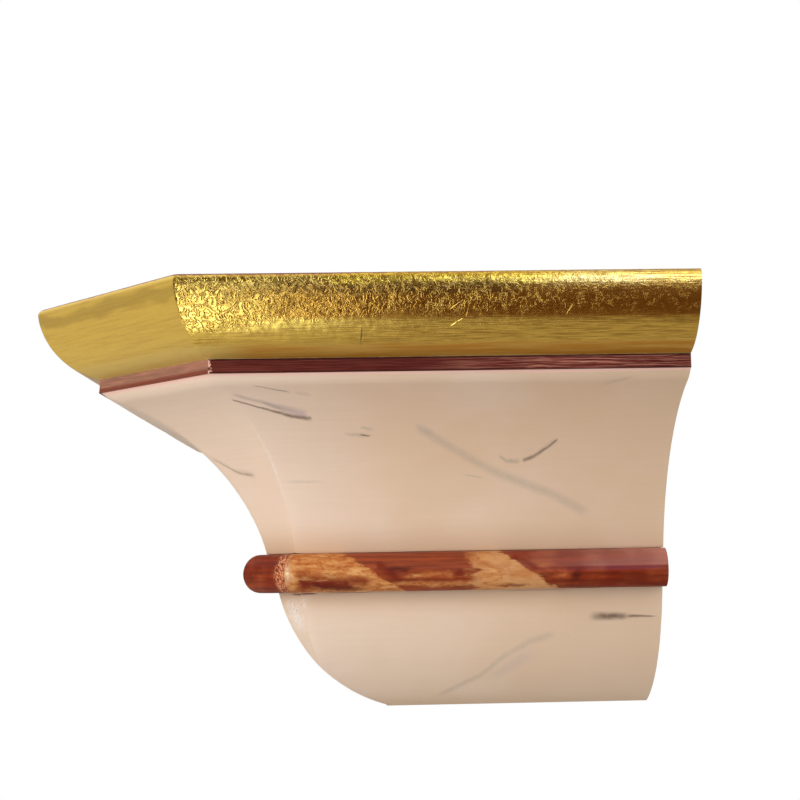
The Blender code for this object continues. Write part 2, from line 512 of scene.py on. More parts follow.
def drawStrokes(point, strokes):
    # each stroke: run, points (along, height) in millimetres, widths in millimetres, strength
    mask = None
    for run, points, widths, strength in strokes:
        spots = [(run + along / 1000, up / 1000, 0.0) for along, up in points]
        steps = len(spots) - 1
        widening = (widths[1] - widths[0]) / steps
        for step in range(steps):
            mask = useGroup(brushStroke, point=point, start=spots[step], end=spots[step + 1],
                            startWidth=(widths[0] + widening * step) / 1000,
                            endWidth=(widths[0] + widening * (step + 1)) / 1000, strength=strength,
                            softStart=0.35 if step == 0 else 0.0,
                            softEnd=0.35 if step == steps - 1 else 0.0, before=mask)
    return mask


def objectPlace(tree):
    return addField(tree, "ShaderNodeTexCoord", output="Object")


def facePlace(tree):
    # along the moulding, girth down the profile, and run
    return addField(tree, "ShaderNodeAttribute", output="Vector", attribute_name="onFace")


def strokePoint(along, run, place, wander, wanderSize):
    # (along + run, height), so that strokes on different faces never meet
    point = vectorOf(along + run, partsOf(place)[2], 0.0)
    shift = noiseOf(point, 1 / wanderSize, output="Color")
    shift = calcVector("SUBTRACT", shift, (0.5, 0.5, 0.5))
    return calcVector("ADD", point, calcVector("MULTIPLY", shift, (wander * 2, wander * 2, 0.0)))


def facesOf(run):
    # masks of the right side and of the cut corner next to it
    side = calc("LESS_THAN", run, 0.5)
    return side, calc("GREATER_THAN", run, 0.5) * calc("LESS_THAN", run, 1.5)


def newMaterial(name):
    material = bpy.data.materials.new(name)
    material.use_nodes = True
    return material, material.node_tree


def setShader(material, inputs):
    shader = material.node_tree.nodes["Principled BSDF"]
    for label, value in inputs.items():
        feed(shader.inputs[label], value)
    return material


# Gold leaf on the board's edge. In the finishes, a name that ends in Girth is a range down the
# profile and one in Along a range from the wall, both in metres.

gilding = {
    "leaf": (0.86, 0.6, 0.12),
    "oldLeaf": (0.66, 0.4, 0.1),
    "warmLeaf": (0.86, 0.57, 0.04),
    "paleLeaf": (0.88, 0.68, 0.22),
    "bole": (0.16, 0.03, 0.018),
    "foldLeaf": (0.34, 0.17, 0.03),
    "gapLeaf": (0.3, 0.15, 0.02),
    "glaze": (0.4, 0.155, 0.014),
    "footPaint": (0.58, 0.39, 0.1),
    "footRim": (0.8, 0.56, 0.24),
    "amberLeaf": (0.52, 0.24, 0.036),
    "glintLeaf": (0.98, 0.64, 0.14),
    "darkReflectionLeaf": (0.2, 0.115, 0.03),
    "pit": (0.1, 0.05, 0.02),
    "crack": (0.05, 0.022, 0.01),
    "crinkleSize": 0.002,
    "crinkleGirth": (0.018, 0.012),
    "crinkleAlong": (0.02, 0.085),
    "lowerAlong": (0.118, 0.15),
    "lowerBy": 0.0045,
    "hairAlong": (0.13, 0.085),
    "wallAlong": (0.04, 0.012),
    "wallGirth": (0.01, 0.0075),
    "bandGirth": (0.0068, 0.0052),
    "warmAlong": (0.12, 0.104, 0.04, 0.056),
    "paleAlong": (0.046, 0.034, 0.01, 0.02),
    "amberGirth": (0.0045, 0.0075, 0.0172, 0.015),
    "amberAlong": (0.154, 0.116),
    "darkReflectionGirth": (0.004, 0.0056, 0.0096, 0.0076),
    "darkReflectionFarAlong": (0.165, 0.112),
    "darkReflectionNearAlong": (0.05, 0.066),
    "gapFarAlong": (0.118, 0.092),
    "gapNearAlong": (0.014, 0.036),
    "gapGirth": (0.009, 0.006),
    "glintGirth": (0.0055, 0.007),
    "glintAlong": (0.112, 0.08),
    "glintWallAlong": (0.008, 0.05),
    "arrisGirth": (0.0014, 0.0021),
    "arrisAlong": (0.085, 0.115),
    "paintAlong": (0.132, 0.155),
    "footGirth": (0.0242, 0.0274),
    "rimGirth": (0.0337, 0.0341),
    "reliefAlong": (0.085, 0.14),
    "smoothRough": 0.2,
    "crinkleRough": 0.15,
    "cantRough": 0.34,
}
goldCracks = [
    (0, [(103.6, 45), (104.4, 39)], (0.42, 0.46), 0.95),
    (2, [(20, 45.5), (19, 40)], (0.25, 0.3), 0.8),
]
goldScratches = [
    (0, [(77.2, 47.9), (71.7, 51.6)], (0.25, 0.3), 0.6),
    (0, [(77.4, 43.3), (71.8, 46.4)], (0.25, 0.25), 0.6),
    (0, [(69.8, 52.4), (72.2, 45.7)], (0.2, 0.2), 0.5),
    (0, [(41.6, 45.9), (38.8, 50.3)], (0.18, 0.22), 0.3),
    (0, [(126.5, 54), (127.3, 50.5), (126.6, 45.5)], (0.25, 0.2), 0.7),
    (2, [(-40, 50), (-33, 46)], (0.2, 0.3), 0.7),
    (4, [(-90, 47), (-84, 49.5)], (0.2, 0.3), 0.7),
]


def makeGoldLeaf():
    material, tree = newMaterial("goldLeaf")
    onFace, place = facePlace(tree), objectPlace(tree)
    along, girth, run = partsOf(onFace)
    point = strokePoint(along, run, place, 0.0003, 0.003)
    side, cant = facesOf(run)
    offCant = 1.0 - cant

    # worm-like folds of the leaf: the lines where a twisted noise crosses its middle value
    crumple = noiseOf(place, 1 / gilding["crinkleSize"], 1.5, distort=1.3)
    fromFold = calc("ABSOLUTE", crumple - 0.5)
    fold = ramp(fromFold, 0.0, 0.12)
    # crinkled in the upper part, most near the right mitre; smooth low down and by the wall
    loose = noiseOf(place, 60.0, 3.0) - 0.5
    lower = ramp(along, *gilding["lowerAlong"]) * gilding["lowerBy"]
    upper = ramp(girth + loose * 0.01 - lower, *gilding["crinkleGirth"])
    nearMitre = ramp(along + loose * 0.05, *gilding["crinkleAlong"], 0.55, 1.0)
    elsewhere = ramp(noiseOf(place, 16.0), 0.38, 0.62, 0.15, 0.8)
    crinkled = mixValue(cant, upper * mixValue(side, elsewhere, nearMitre), 0.06)

    lines = dragged(onFace, 0.0007, 0.016, 0.5, 2.0)
    broad = dragged(onFace, 0.0022, 0.045, 0.3, 9.0)
    hair = dragged(onFace, 0.00036, 0.009, 0.8, 21.0)
    pits = useGroup(specks, vector=place, size=0.01, share=0.05, kept=0.22)
    bits = useGroup(specks, vector=place, size=0.0022, share=0.11, kept=0.25)
    scratches = drawStrokes(point, goldScratches)

    leaf = mixColour(broad * ramp(lines, 0.2, 0.9, 0.2, 0.8), gilding["leaf"], gilding["oldLeaf"])
    leaf.lay(ramp(lines, 0.62, 0.95) * offCant * 0.45, gilding["foldLeaf"])
    # painted reflection: the upper band, which reflects the bright light, is painted yellow in the
    # middle of the side and paler near the wall, where the glare is
    onBand = side * ramp(girth, *gilding["bandGirth"])
    leaf.lay(onBand * band(along, *gilding["warmAlong"]) * 0.8, gilding["warmLeaf"])
    leaf.lay(onBand * band(along, *gilding["paleAlong"]) * 0.5, gilding["paleLeaf"])
    # dark and pale hair lines, which are darkest in the band at the wall
    hairs = ramp(along, *gilding["hairAlong"], 0.3, 1.0) * offCant
    atWall = ramp(along, *gilding["wallAlong"]) * ramp(girth, *gilding["wallGirth"])
    leaf.lay(ramp(hair, 0.35, 0.95) * hairs * mixValue(atWall, 0.58, 0.95), gilding["foldLeaf"])
    leaf.lay(ramp(hair, 0.35, 0.02) * hairs * 0.45, gilding["glintLeaf"])
    # the leaf is toned amber in the middle of the side, partly its own tone and partly a painted
    # reflection tone, and painted brown over that as a painted dark reflection
    amber = band(girth, *gilding["amberGirth"]) * offCant
    amber = amber * mixValue(side, 0.5, ramp(along, *gilding["amberAlong"]))
    leaf.lay(amber * 0.8, gilding["amberLeaf"])
    # painted dark reflection: a brown band in the upper middle of the profile, where the side
    # reflects the dark surroundings
    darkReflection = (ramp(along, *gilding["darkReflectionFarAlong"], 0.3, 1.0)
             * ramp(along, *gilding["darkReflectionNearAlong"]))
    darkReflection = mixValue(side, 0.4, darkReflection) * band(girth + loose * 0.006, *gilding["darkReflectionGirth"])
    leaf.lay(darkReflection * 0.75, gilding["darkReflectionLeaf"])
    # painted shade in the folds of the crinkled leaf
    leaf.lay((1.0 - fold) * crinkled * 0.85, gilding["foldLeaf"])
    # small dark gaps in the upper band
    gaps = ramp(noiseOf(place, 1000.0, 2.0, 0.6, 0.8), 0.52, 0.6) * upper * offCant
    gaps = gaps * ramp(along, *gilding["gapFarAlong"])
    gaps = gaps * ramp(along, *gilding["gapNearAlong"], 0.25, 1.0)
    gaps = gaps * ramp(girth, *gilding["gapGirth"], 0.1, 1.0)
    leaf.lay(gaps * 0.7, gilding["gapLeaf"])
    # painted glints: thin bright fold lines painted where the leaf is otherwise smooth, towards
    # the wall
    glint = ramp(fromFold, 0.0, 0.06, 1.0, 0.0) * ramp(noiseOf(place, 420.0), 0.44, 0.56)
    glint = glint * ramp(girth, *gilding["glintGirth"]) * upper * offCant
    glint = glint * ramp(along, *gilding["glintAlong"])
    glint = glint * mixValue(side, 0.4, ramp(along, *gilding["glintWallAlong"], 0.5, 0.85))
    leaf.lay(glint, gilding["glintLeaf"])
    leaf.lay(pits, gilding["pit"])
    # the red ground shows along the upper arris
    ragged = (noiseOf(place, 300.0) - 0.5) * 0.0009
    atArris = ramp(girth + ragged, *gilding["arrisGirth"], 1.0, 0.0)
    atArris = atArris * mixValue(side, 1.0, ramp(along, *gilding["arrisAlong"], 0.5, 1.0))
    leaf.lay(atArris, gilding["bole"])
    # the foot of the curve is painted over: orange on the faces as a painted reflection of the
    # cream body below, plain gold paint by the mitres
    byMitre = largest(cant, side * ramp(along, *gilding["paintAlong"]))
    toned = mixColour(largest(byMitre, ramp(broad, 0.3, 0.9, 0.0, 0.45)),
                      gilding["glaze"], gilding["footPaint"])
    atFoot = ramp(girth + loose * 0.003, *gilding["footGirth"])
    leaf.lay(atFoot * 0.9, toned)
    # a painted highlight along the lower arris, just above the fillet
    atRim = ramp(girth + ragged, *gilding["rimGirth"])
    leaf.lay(atRim * ramp(lines, 0.2, 0.6, 0.5, 1.0), gilding["footRim"])
    cracks = drawStrokes(point, goldCracks)
    leaf.lay(cracks, gilding["crack"])

    # partly not metal: the red ground, pits, cracks, the painted foot and the painted glints,
    # which then show bright in diffuse light
    bare = largest(atArris, pits, glint * 0.36, atFoot * 0.72, cracks)
    rough = mixValue(crinkled, gilding["smoothRough"], gilding["crinkleRough"])
    rough = mixValue(cant, rough, gilding["cantRough"])
    strongest = mixValue(side, 0.6, ramp(along, *gilding["reliefAlong"], 0.4, 1.0))
    folded = bumpOf(fold * crinkled * strongest, 0.00006, 0.8)
    drawn = (lines + broad + bits) * ramp(crinkled, 0.0, 0.8, 1.0, 0.2) * 0.5 + scratches * 2.5
    return setShader(material, {
        "Base Color": leaf,
        "Metallic": 1.0 - bare,
        "Specular IOR Level": 0.08,
        "Roughness": rough + lines * 0.05,
        "Normal": bumpOf(drawn, 0.00005, 0.8, folded),
    })


# Dark mahogany paint on the shelf's top

topPaint = {"dark": (0.06, 0.012, 0.008), "light": (0.12, 0.026, 0.016)}


def makeTopPaint():
    material, tree = newMaterial("topPaint")
    grain = noiseOf(calcVector("MULTIPLY", objectPlace(tree), (60.0, 900.0, 60.0)), 1.0, 3.0)
    return setShader(material, {
        "Base Color": mixColour(ramp(grain, 0.3, 0.7), topPaint["dark"], topPaint["light"]),
        "Roughness": ramp(grain, 0.3, 0.7, 0.52, 0.64),
        "Specular IOR Level": 0.3,
        "Normal": bumpOf(grain, 0.0001),
    })


# Bare wood on the back, where no paint was needed

bareBack = {"early": (0.5, 0.33, 0.19), "late": (0.34, 0.2, 0.1), "pore": (0.2, 0.11, 0.05)}


def makeBareWood():
    material, tree = newMaterial("bareWood")
    place = objectPlace(tree)
    wavy = noiseOf(calcVector("MULTIPLY", place, (14.0, 200.0, 260.0)), 1.0, 4.0, 0.6, 0.6)
    pores = noiseOf(calcVector("MULTIPLY", place, (200.0, 2500.0, 2500.0)), 1.0)
    wood = mixColour(ramp(wavy, 0.35, 0.65), bareBack["early"], bareBack["late"])
    wood.lay(ramp(pores, 0.55, 0.8, 0.0, 0.5), bareBack["pore"])
    return setShader(material, {
        "Base Color": wood, "Roughness": 0.75, "Normal": bumpOf(wavy + pores, 0.0002)})


# Mahogany red fillet

fillet = {
    "top": 0.0235,
    "foot": 0.028,
    "setBack": 0.0194,
    "dark": (0.07, 0.0078, 0.0058),
    "red": (0.2, 0.034, 0.021),
    "pale": (0.5, 0.2, 0.13),
    "cant": (0.24, 0.118, 0.076),
    "cantFoot": (0.19, 0.05, 0.03),
    "chip": (0.72, 0.42, 0.33),
    "bared": (0.33, 0.13, 0.075),
    "edge": (0.03, 0.005, 0.004),
    "streakyAlong": (0.086, 0.045),
    "wallAlong": (0.01, 0.03),
    "topEdgeGirth": (0.0002, 0.0007),
    "footEdgeGirth": (0.0038, 0.0042),
    "cantFootGirth": (0.0026, 0.0036),
    "chipStart": 0.0009,
    "chipFull": 0.0006,
}
fillet["mitreAlong"] = shelf["depth"] - shelf["cornerCut"] - (sqrt(2) - 1) * fillet["setBack"]


def makeFilletPaint():
    material, tree = newMaterial("filletPaint")
    onFace, place = facePlace(tree), objectPlace(tree)
    along, girth, run = partsOf(onFace)
    side, cant = facesOf(run)
    lines = dragged(onFace, 0.001, 0.012, 0.65, 4.0)
    waved = (noiseOf(place, 50.0) - 0.5) * 0.0014
    fine = dragged(vectorOf(along, girth + waved, run), 0.00028, 0.022, 0.8, 14.0)
    # streakier and paler towards the wall: brush streaks, with painted gloss reflection in the
    # pale ones
    toWall = side * ramp(along, *fillet["streakyAlong"])
    toWall = toWall * ramp(along, *fillet["wallAlong"], 0.55, 1.0)
    streaks = largest(lines, fine * 0.7) * mixValue(toWall, 0.25, 0.75)
    paint = mixColour(streaks, fillet["dark"], fillet["red"])
    paint.lay(ramp(fine, 0.48, 0.82) * mixValue(toWall, 0.1, 0.95), fillet["pale"])
    edges = largest(ramp(girth, *fillet["topEdgeGirth"], 1.0, 0.0),
                    ramp(girth, *fillet["footEdgeGirth"], 0.0, 0.6))
    paint.lay(edges * side, fillet["edge"])
    flecks = useGroup(specks, vector=place, size=0.008, share=0.055, kept=0.28,
                      stretch=(1.0, 0.6, 1.6))
    paint.lay(flecks, fillet["chip"])
    # painted sheen: the cut corner's red paint is painted lighter and browner than the side's, as
    # where it faces the light, with paler streaks
    lightened = mixColour(lines * 0.5, fillet["cant"], fillet["pale"])
    lightened.lay(ramp(girth, *fillet["cantFootGirth"]), fillet["cantFoot"])
    paint.lay(cant, lightened)
    # paint chipped off the mitre, down to a paler ground
    ragged = (noiseOf(place, 1000.0, distort=0.6) - 0.5) * 0.006
    chipped = side * ramp(along + ragged, fillet["mitreAlong"] - fillet["chipStart"],
                          fillet["mitreAlong"] - fillet["chipFull"])
    ground = mixColour(ramp(noiseOf(place, 1700.0), 0.45, 0.55), fillet["bared"], fillet["chip"])
    paint.lay(chipped, ground)
    return setShader(material, {
        "Base Color": paint,
        "Roughness": ramp(fine, 0.2, 0.9, 0.4, 0.55),
        "Specular IOR Level": 0.09,
        "Normal": bumpOf(lines + fine + chipped * 2.0, 0.00008),
    })


# Cream body painted as marble

body = {
    "top": 0.0277,
    "lipTop": 0.0022,
    "coveTop": 0.0201,
    "lipRadius": 0.014,
    "lipSteps": 6,
    "coveRadius": 0.077,
    "coveFoot": 0.0745,
    "coveSteps": 24,
    "beadTop": 0.0839,
    "beadFoot": 0.0976,
    "footTop": 0.0785,
    "footRadius": 0.0616,
    "footSteps": 30,
    "footEnd": 0.117,
    "foot": 0.1408,
    "cell": 0.0016,
    "cream": (0.74, 0.53, 0.368),
    "warm": (0.69, 0.465, 0.298),
    "pink": (0.78, 0.592, 0.46),
    "tan": (0.66, 0.443, 0.28),
    "grime": (0.61, 0.395, 0.24),
    "vein": (0.125, 0.064, 0.037),
    "faintVein": (0.4, 0.29, 0.21),
    "mauve": (0.47, 0.34, 0.31),
    "lipPink": (0.84, 0.49, 0.39),
    "scuff": (0.82, 0.76, 0.71),
    "paintRun": (0.16, 0.03, 0.018),
    "ledgeLine": (0.36, 0.15, 0.085),
    "brushed": (0.5, 0.34, 0.21),
    "lipGirth": (0.0009, 0.0014),
    "ledgeLineHigh": 0.0009,
    "ledge": 0.001,
    "overBeadShade": 0.012,
    "underBeadShade": 0.01,
    "footShade": 0.007,
    # distances out from the wall
    "pinkOut": (0.075, 0.15),
    "tanOut": (0.09, 0.0),
    "grimeOut": (0.0, 0.06),
}
darkVeins = [
    (0, [(149.5, 26.1), (138.5, 23.35), (131.6, 21.64), (127.5, 20.7), (120.8, 19.7)],
     (0.22, 1.1), 0.85),
    (0, [(128, 21.1), (124.6, 20.2), (120.8, 20)], (0.5, 0.9), 0.75),
    (0, [(139.5, 28.9), (133, 27.9), (127, 27)], (0.16, 0.32), 0.6),
    (0, [(106.2, 15), (101.7, 14.6)], (0.35, 0.45), 0.85),
    (0, [(51.2, 6), (46.7, 7.6), (42.1, 10.4), (38.6, 13.2)], (1.1, 0.5), 0.8),
    (0, [(27, -47.5), (10, -47.8)], (2.4, 1.7), 0.9),
    (0, [(15, -47.6), (0.2, -48.2)], (1.2, 0.3), 0.85),
    (1, [(49.5, 10.4), (44.8, 7.2), (40.2, 4.5), (32.3, 3)], (0.2, 0.9), 0.42),
    (2, [(-62, 21), (-44, 15)], (0.25, 0.8), 0.8),
    (2, [(30, -49), (46, -52)], (0.9, 0.3), 0.6),
    (4, [(-120, 12), (-103, 5)], (0.3, 0.8), 0.75),
]
scuffsAndMitreHighlight = [
    (2, [(-48, -40), (-44, -45)], (2, 1.2), 0.6),
    (0, [(127.4, -38.8), (126.2, -44)], (1.6, 1.2), 0.6),
    (1, [(34.8, -38), (34, -53)], (8, 5), 0.95),
    # a painted highlight along the mitre of the cove, drawn as a stroke like the scuffs
    (0, [(144, 22), (136.5, 8), (133, -6)], (1.3, 1.8), 0.55),
]
beadSmears = [
    (2, [(20, -38.2), (-10, -38.1)], (0.3, 0.25), 0.5),
    (0, [(129.5, -37.9), (121, -37.9)], (0.75, 0.55), 0.95),
    (0, [(121, -37.8), (98, -37.7)], (0.35, 0.2), 0.6),
    (1, [(35, -38.1), (27, -38.3)], (0.5, 0.6), 0.8),
    (0, [(60, -38), (30, -38)], (0.25, 0.25), 0.5),
]
mauveShades = [
    (0, [(138, 24.8), (129, 22.6), (122, 20.6)], (0.8, 2.3), 0.75),
    (0, [(88, 18), (80, 14.5)], (1, 2), 0.3),
    (0, [(64, -72), (43, -58.5)], (2.6, 4.4), 0.28),
    (2, [(-60, 21.6), (-42, 15.4)], (0.9, 2.2), 0.6),
    (4, [(-118, 12), (-101, 5)], (0.9, 2.2), 0.6),
]
faintVeins = [
    (0, [(147, 26.9), (137, 24.7), (128.3, 21.7)], (0.7, 0.75), 0.62),
    (0, [(127, 27), (120, 26.3)], (0.6, 0.9), 0.3),
    (0, [(112, 15.4), (101, 14.6)], (0.6, 1.2), 0.55),
    (0, [(106.2, 17.3), (100.6, 16.4)], (0.7, 0.9), 0.5),
    (0, [(88, 17.8), (76.8, 11.8), (61.5, 3.4), (38, -5.6), (26, -12.4)], (2, 2.8), 0.48),
    (0, [(59, 8.1), (56.2, 6.2), (51, 6)], (0.7, 1.5), 0.7),
    (0, [(46.5, 7.8), (38.3, 13.3)], (1, 1.7), 0.55),
    (0, [(71.8, 2.2), (62.5, 0.7)], (0.5, 0.5), 0.45),
    (0, [(28, 27.8), (15.9, 30.1)], (0.9, 0.5), 0.4),
    (0, [(133.6, 0.6), (116.5, 0.2)], (0.9, 0.6), 0.3),
    (0, [(27, -48.6), (9, -47.6)], (1.6, 1.9), 0.5),
    (0, [(81.4, -77.6), (64.2, -68.8), (55.5, -61.3), (46.7, -56.2), (37, -53.4)],
     (1.5, 2.2), 0.42),
    (1, [(50, 11.2), (41.5, 5.2), (31, 3.2)], (1.2, 2), 0.42),
    (2, [(-66, 22.5), (-42, 14.5)], (1.2, 1.8), 0.5),
    (2, [(10, 12), (32, 1), (62, -12)], (1.6, 1.5), 0.42),
    (2, [(-50, -70), (-25, -60), (-6, -56)], (0.9, 1.4), 0.4),
    (3, [(0, 18), (18, 8)], (1, 1.5), 0.4),
    (4, [(-124, 13), (-100, 4)], (1.2, 1.8), 0.5),
    (4, [(-70, 22), (-44, 6), (-20, -8)], (1.6, 1.4), 0.4),
    (4, [(-78, -66), (-52, -58)], (0.9, 1.3), 0.4),
]


def bodyProfile():
    cove = arc((body["coveTop"], body["top"] + body["lipTop"]),
               (body["coveFoot"], body["beadTop"]),
               body["coveRadius"], body["coveSteps"], hollow=True)
    lip = arc((body["coveTop"], body["top"] + glueGap), cove[2],
              body["lipRadius"], body["lipSteps"])
    foot = arc((body["footTop"], body["beadFoot"]), (body["footEnd"], body["foot"]),
               body["footRadius"], body["footSteps"])
    upper = lip + cove[3:] + [(body["footTop"], body["beadTop"])]
    return divided(upper, body["cell"]) + divided(foot, body["cell"])


def makeCreamMarble(name, runs):
    def onThese(strokes):
        return [stroke for stroke in strokes if stroke[0] in runs]

    material, tree = newMaterial(name)
    onFace, place = facePlace(tree), objectPlace(tree)
    along, girth, run = partsOf(onFace)
    point = strokePoint(along, run, place, 0.0003, 0.004)
    fromWall = partsOf(place)[1] * -1.0
    drop = shelf["topHeight"] - partsOf(place)[2]
    clouds = noiseOf(place, 14.0, 3.0, 0.55, 0.5)
    drift = noiseOf(calcVector("ADD", place, (3.1, 1.7, 0.4)), 26.0, 3.0)
    cream = mixColour(ramp(clouds, 0.35, 0.7), body["cream"], body["warm"])
    cream.lay(ramp(drift, 0.45, 0.75, 0.0, 0.6), body["pink"])
    # painted light and shade: pinker and lighter towards the cut corners, browner and darker
    # towards the wall
    cream.lay(ramp(fromWall, *body["pinkOut"], 0.0, 0.7), body["pink"])
    cream.lay(ramp(fromWall, *body["tanOut"], 0.0, 0.6), body["tan"])
    brush = dragged(onFace, 0.0016, 0.035, 0.3, 1.0)
    cream.lay(ramp(brush, 0.0, 1.0, 0.0, 0.08), body["brushed"])
    # a pink line under the fillet, and a brown one over the bead
    uneven = (brush - 0.5) * 0.0003
    cream.lay(ramp(girth + uneven, *body["lipGirth"], 1.0, 0.0) * 0.8, body["lipPink"])
    ledge = body["beadTop"] + body["ledge"]
    overLedge = calc("LESS_THAN", drop, ledge)
    atLedge = ramp(drop + uneven, body["beadTop"] - body["ledgeLineHigh"], body["beadTop"])
    cream.lay(atLedge * overLedge * 0.55, body["ledgeLine"])
    # painted shade: browner just over and under the bead, and along the foot
    overBead = ramp(drop, body["beadTop"] - body["overBeadShade"], body["beadTop"] - body["ledge"])
    underBead = ramp(drop, body["beadFoot"] + body["underBeadShade"],
                     body["beadFoot"] + body["ledge"])
    grime = largest(overBead * overLedge, calc("GREATER_THAN", drop, ledge) * underBead,
                    ramp(drop, body["foot"] - body["footShade"], body["foot"]))
    cream.lay(grime * ramp(fromWall, *body["grimeOut"], 0.35, 0.75), body["grime"])
    cream.lay(drawStrokes(point, onThese(mauveShades)), body["mauve"])
    mottle = noiseOf(place, 420.0, 3.0, 0.7)
    faint = drawStrokes(point, onThese(faintVeins))
    cream.lay(faint * ramp(mottle, 0.3, 0.7, 0.7, 1.0), body["faintVein"])
    dark = drawStrokes(point, onThese(darkVeins))
    cream.lay(dark * ramp(mottle, 0.3, 0.65, 0.75, 1.0), body["vein"])
    dust = useGroup(specks, vector=place, size=0.011, share=0.035, kept=0.25)
    cream.lay(dust * 0.6, body["faintVein"])
    # rubbed places, with grit in them, and a painted highlight along the right mitre of the cove
    scratched = noiseOf(calcVector("MULTIPLY", place, (1.0, 1.0, 0.5)), 1500.0, rough=0.7)
    lightened = (drawStrokes(point, onThese(scuffsAndMitreHighlight)) * ramp(scratched, 0.4, 0.6, 0.15, 1.0)
              * ramp(mottle, 0.3, 0.6, 0.5, 1.0))
    cream.lay(lightened, body["scuff"])
    grit = useGroup(specks, vector=place, size=0.0016, share=0.3, kept=0.35)
    cream.lay(grit * lightened * 0.8, body["vein"])
    cream.lay(drawStrokes(point, onThese(beadSmears)), body["paintRun"])
    return setShader(material, {
        "Base Color": cream,
        "Roughness": ramp(drift, 0.3, 0.7, 0.34, 0.44),
        "Specular IOR Level": 0.35,
        "Coat Weight": 0.08,
        "Coat Roughness": 0.2,
        "Normal": bumpOf(mottle, 0.00003, 0.5, bumpOf(brush, 0.00004, 0.4)),
    })


# Mahogany bead

bead = {
    "nose": 0.0666,
    "noseDepth": 0.006,
    "noseSteps": 22,
    "fillerStart": 0.0215,
    "fillerEnd": 0.0298,
    "fillerOnSide": 0.13,
    "dark": (0.05, 0.007, 0.004),
    "red": (0.225, 0.023, 0.005),
    "brown": (0.355, 0.068, 0.019),
    "deepRed": (0.15, 0.016, 0.006),
    "redGold": (0.46, 0.115, 0.04),
    "bloom": (0.46, 0.185, 0.135),
    "gold": (0.45, 0.145, 0.036),
    "paleGold": (0.64, 0.31, 0.105),
    "milky": (0.58, 0.29, 0.115),
    "amber": (0.34, 0.075, 0.02),
    "filler": (0.64, 0.26, 0.12),
    "paleSpot": (0.92, 0.66, 0.38),
    "brownerAlong": (0.045, 0.07, 0.128, 0.11),
    "ceilingSheenHeight": (-0.0303, -0.0295),
    "ceilingSheenAlong": (0.06, 0.006),
    "milkyAlong": (0.076, 0.066),
    "fillerFray": 0.002,
}


def beadSection():
    top, foot = body["beadTop"] + 0.00002, body["beadFoot"]
    back = body["footTop"] - glueGap
    middle, half = (top + foot) / 2, (foot - top) / 2
    shoulder = bead["nose"] + bead["noseDepth"]
    angles = [pi * step / bead["noseSteps"] for step in range(bead["noseSteps"] + 1)]
    nose = [(shoulder - bead["noseDepth"] * sin(a), middle - half * cos(a)) for a in angles]
    return divided([(back, top)] + nose + [(back, foot), (back, top)], 0.003)


# golden patches: run, far and near end in mm from the wall, slant of the near end, middle height
goldenPatches = [
    (0, 134, 101.5, 1.48, -31),
    (0, 68, 48.2, 1.45, -31),
    (2, 60, 26, 1.5, -31),
    (2, -22, -52, 2, -31),
    (4, -40, -72, 1.6, -31),
]
redStreaks = [
    (0, [(130, -33.6), (120, -34.4), (107, -35.2)], (5.2, 4.4), 1),
    (0, [(114, -33.4), (101, -34)], (3.2, 2.4), 0.8),
    (0, [(101.5, -27.8), (96.5, -30.5), (92.5, -34)], (2.2, 2), 0.85),
    (0, [(54, -25.5), (49, -28), (43, -32)], (1.2, 1.6), 0.6),
    (0, [(74, -30.8), (70, -31.4)], (1.6, 1.8), 0.85),
    (0, [(62, -35.9), (46, -35.7)], (0.6, 0.9), 0.7),
    (2, [(52, -32), (44, -34), (34, -34.5)], (3, 1.8), 0.85),
    (4, [(-48, -32), (-58, -34.2), (-66, -34.2)], (3, 1.8), 0.85),
]
darkStreaks = [
    (0, [(124, -34.4), (116, -36), (104, -36.4)], (1.5, 1), 0.85),
    (0, [(98.5, -30.2), (87.5, -29.7)], (2.1, 1.5), 0.85),
    (0, [(33.8, -31.6), (30.6, -34.2)], (3.8, 4), 1),
    (2, [(44, -35.2), (36, -35.4)], (0.9, 0.8), 0.8),
    (4, [(-58, -35.2), (-66, -35.4)], (0.9, 0.8), 0.8),
]
redMottles = [
    (0, [(47, -29.5), (40, -31.5), (34.5, -33)], (4, 3.2), 0.8),
    (2, [(22, -30), (10, -32)], (3.8, 2.8), 0.7),
]
goldStreaks = [
    (0, [(93, -32.8), (82, -31.6), (73, -31.8)], (1.3, 1.5), 0.75),
    (0, [(97, -35), (82, -35.2), (66, -34.6)], (1.1, 1.8), 0.75),
    (2, [(24, -32.5), (4, -31.5)], (1.3, 1.1), 0.7),
]
fillerSpots = [
    (0, [(132, -27), (131.2, -35)], (2.6, 2.4), 0.45),
    (0, [(132, -29.6), (131.6, -32.4)], (1.7, 1.7), 0.9),
]


